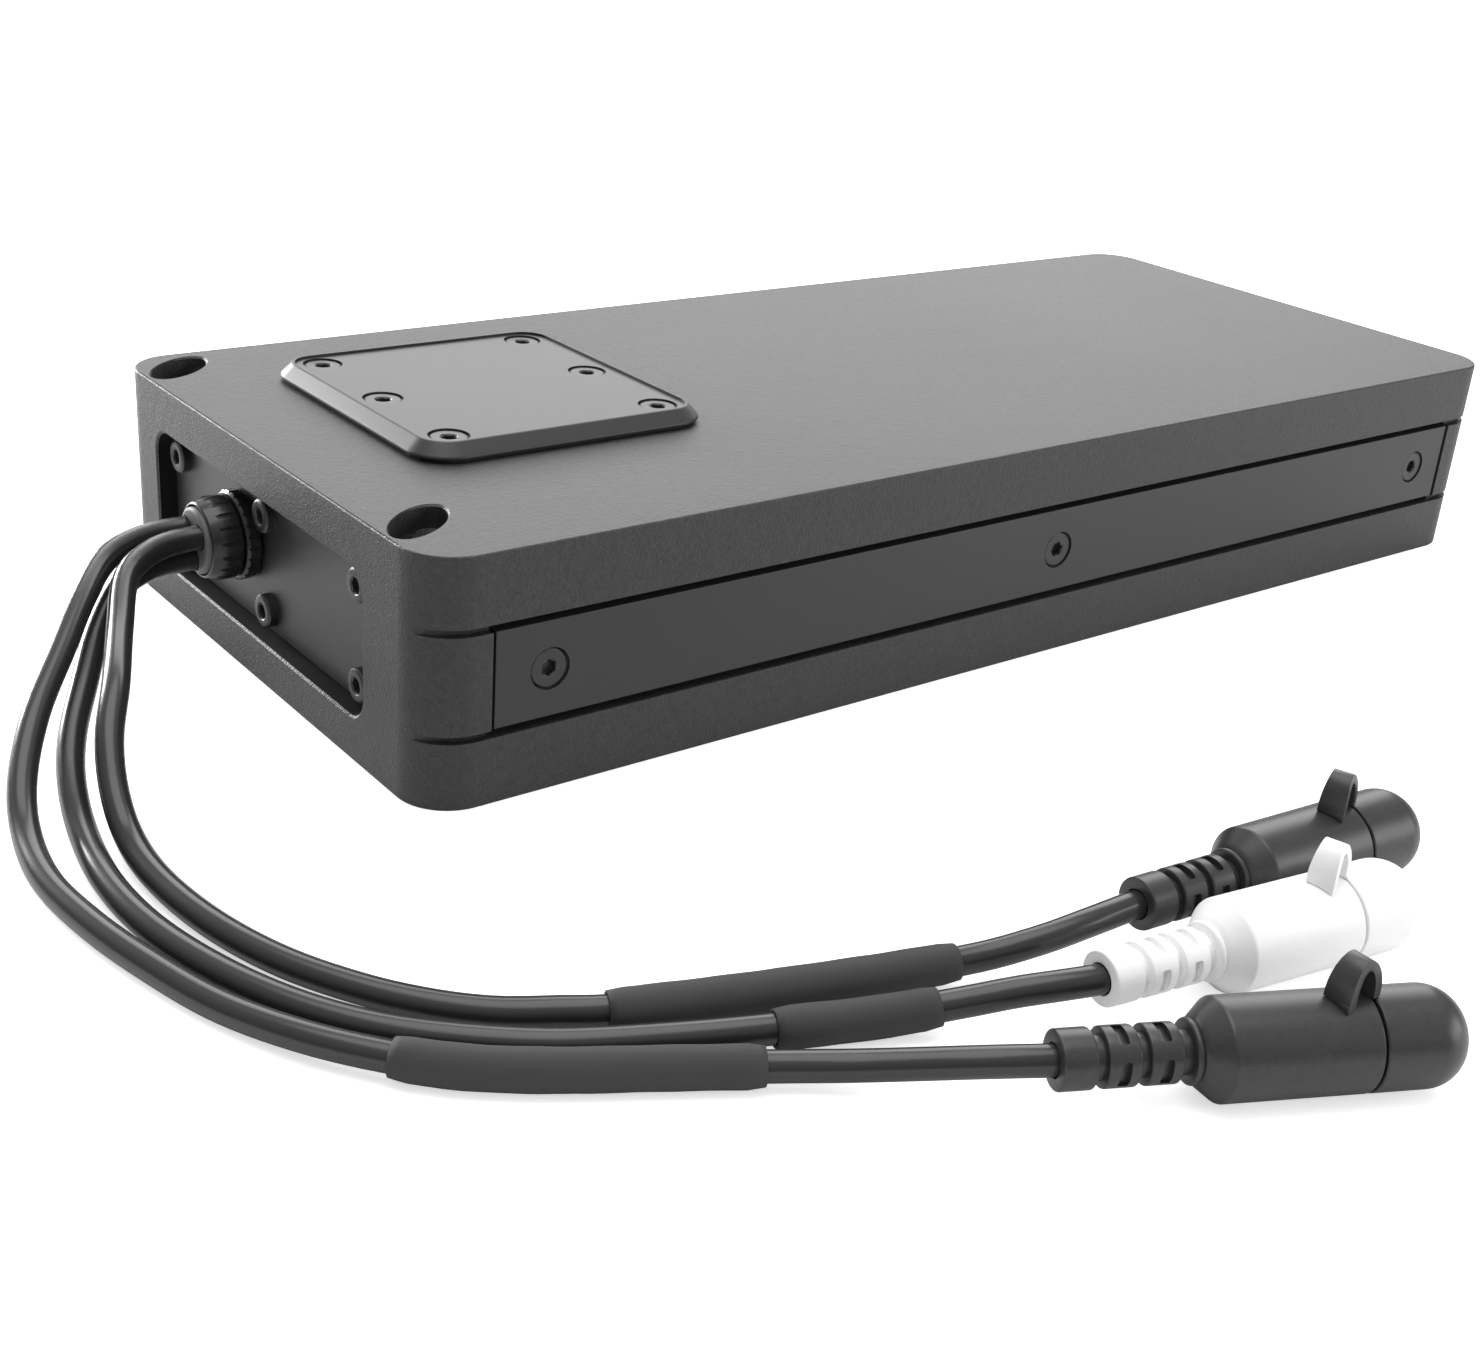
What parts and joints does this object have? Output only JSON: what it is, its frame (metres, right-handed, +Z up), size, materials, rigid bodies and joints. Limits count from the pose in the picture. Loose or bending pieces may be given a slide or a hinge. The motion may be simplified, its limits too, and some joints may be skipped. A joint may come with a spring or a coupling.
{
  "type": "cellular signal booster",
  "caption": "Rugged black metal cellular signal booster box with an access cover, a cable gland and trailing leads that end in capped in-line connectors.",
  "frame": {"origin": "middle of the case's underside", "axes": "+X along the case away from the connector end, +Y across it away from the leads, +Z up"},
  "size_m": [0.2908, 0.2175, 0.0404],
  "materials": {
    "black_anodised_alloy": "bead blasted, black anodised, satin",
    "bare_alloy": "machined",
    "gasket_rubber": "matte",
    "seal_rubber": "matte light grey",
    "black_oxide_steel": "black oxide, satin",
    "moulded_black": "satin moulded",
    "moulded_white": "satin moulded",
    "lead_jacket": "glossy black",
    "shrink_tube": "matte",
    "carrier_nylon": "satin",
    "board_laminate": "solder mask over glass laminate",
    "tinplate": "bright tin"
  },
  "bodies": {
    "booster": {"access_cover": "black_anodised_alloy", "access_gasket": "gasket_rubber", "access_screw_1": "black_oxide_steel", "access_screw_2": "black_oxide_steel", "access_screw_3": "black_oxide_steel", "access_screw_4": "black_oxide_steel", "access_screw_5": "black_oxide_steel", "access_screw_6": "black_oxide_steel", "bottom_cover": "black_anodised_alloy", "bottom_gasket": "gasket_rubber", "bottom_screw_1": "black_oxide_steel", "bottom_screw_2": "black_oxide_steel", "bottom_screw_3": "black_oxide_steel", "bottom_screw_4": "black_oxide_steel", "bottom_screw_5": "black_oxide_steel", "bottom_screw_6": "black_oxide_steel", "connector_inner": "moulded_black", "connector_middle": "moulded_white", "connector_outer": "moulded_black", "contact_carrier_inner": "carrier_nylon", "contact_carrier_middle": "carrier_nylon", "contact_carrier_outer": "carrier_nylon", "end_gasket": "gasket_rubber", "end_plate": "black_anodised_alloy", "end_screw_1": "black_oxide_steel", "end_screw_2": "black_oxide_steel", "end_screw_3": "black_oxide_steel", "end_screw_4": "black_oxide_steel", "end_screw_5": "black_oxide_steel", "end_screw_6": "black_oxide_steel", "gland_body": "moulded_black", "gland_locknut": "moulded_black", "gland_nut": "moulded_black", "gland_seal": "seal_rubber", "heat_spreader": "bare_alloy", "housing": "black_anodised_alloy", "lead_header": "carrier_nylon", "lead_inner": "lead_jacket", "lead_middle": "lead_jacket", "lead_outer": "lead_jacket", "main_board": "board_laminate", "shield_can_downlink": "tinplate", "shield_can_uplink": "tinplate", "side_strip_back": "black_anodised_alloy", "side_strip_front": "black_anodised_alloy", "sleeve_inner": "shrink_tube", "sleeve_middle": "shrink_tube", "sleeve_outer": "shrink_tube", "strip_screw_back_1": "black_oxide_steel", "strip_screw_back_2": "black_oxide_steel", "strip_screw_back_3": "black_oxide_steel", "strip_screw_front_1": "black_oxide_steel", "strip_screw_front_2": "black_oxide_steel", "strip_screw_front_3": "black_oxide_steel", "tether_inner": "moulded_black", "tether_middle": "moulded_white", "tether_outer": "moulded_black"},
    "cap_outer": {"dust_cap_outer": "moulded_black"},
    "cap_middle": {"dust_cap_middle": "moulded_white"},
    "cap_inner": {"dust_cap_inner": "moulded_black"}
  },
  "joints": [
    {"name": "dust_cap_outer_pull", "type": "slide", "parent": "booster", "child": "cap_outer", "axis": [0.9026, -0.4305, 0], "range_m": [0, 0.009]},
    {"name": "dust_cap_middle_pull", "type": "slide", "parent": "booster", "child": "cap_middle", "axis": [0.9882, -0.153, 0], "range_m": [0, 0.009]},
    {"name": "dust_cap_inner_pull", "type": "slide", "parent": "booster", "child": "cap_inner", "axis": [0.9954, -0.0958, 0], "range_m": [0, 0.009]}
  ]
}
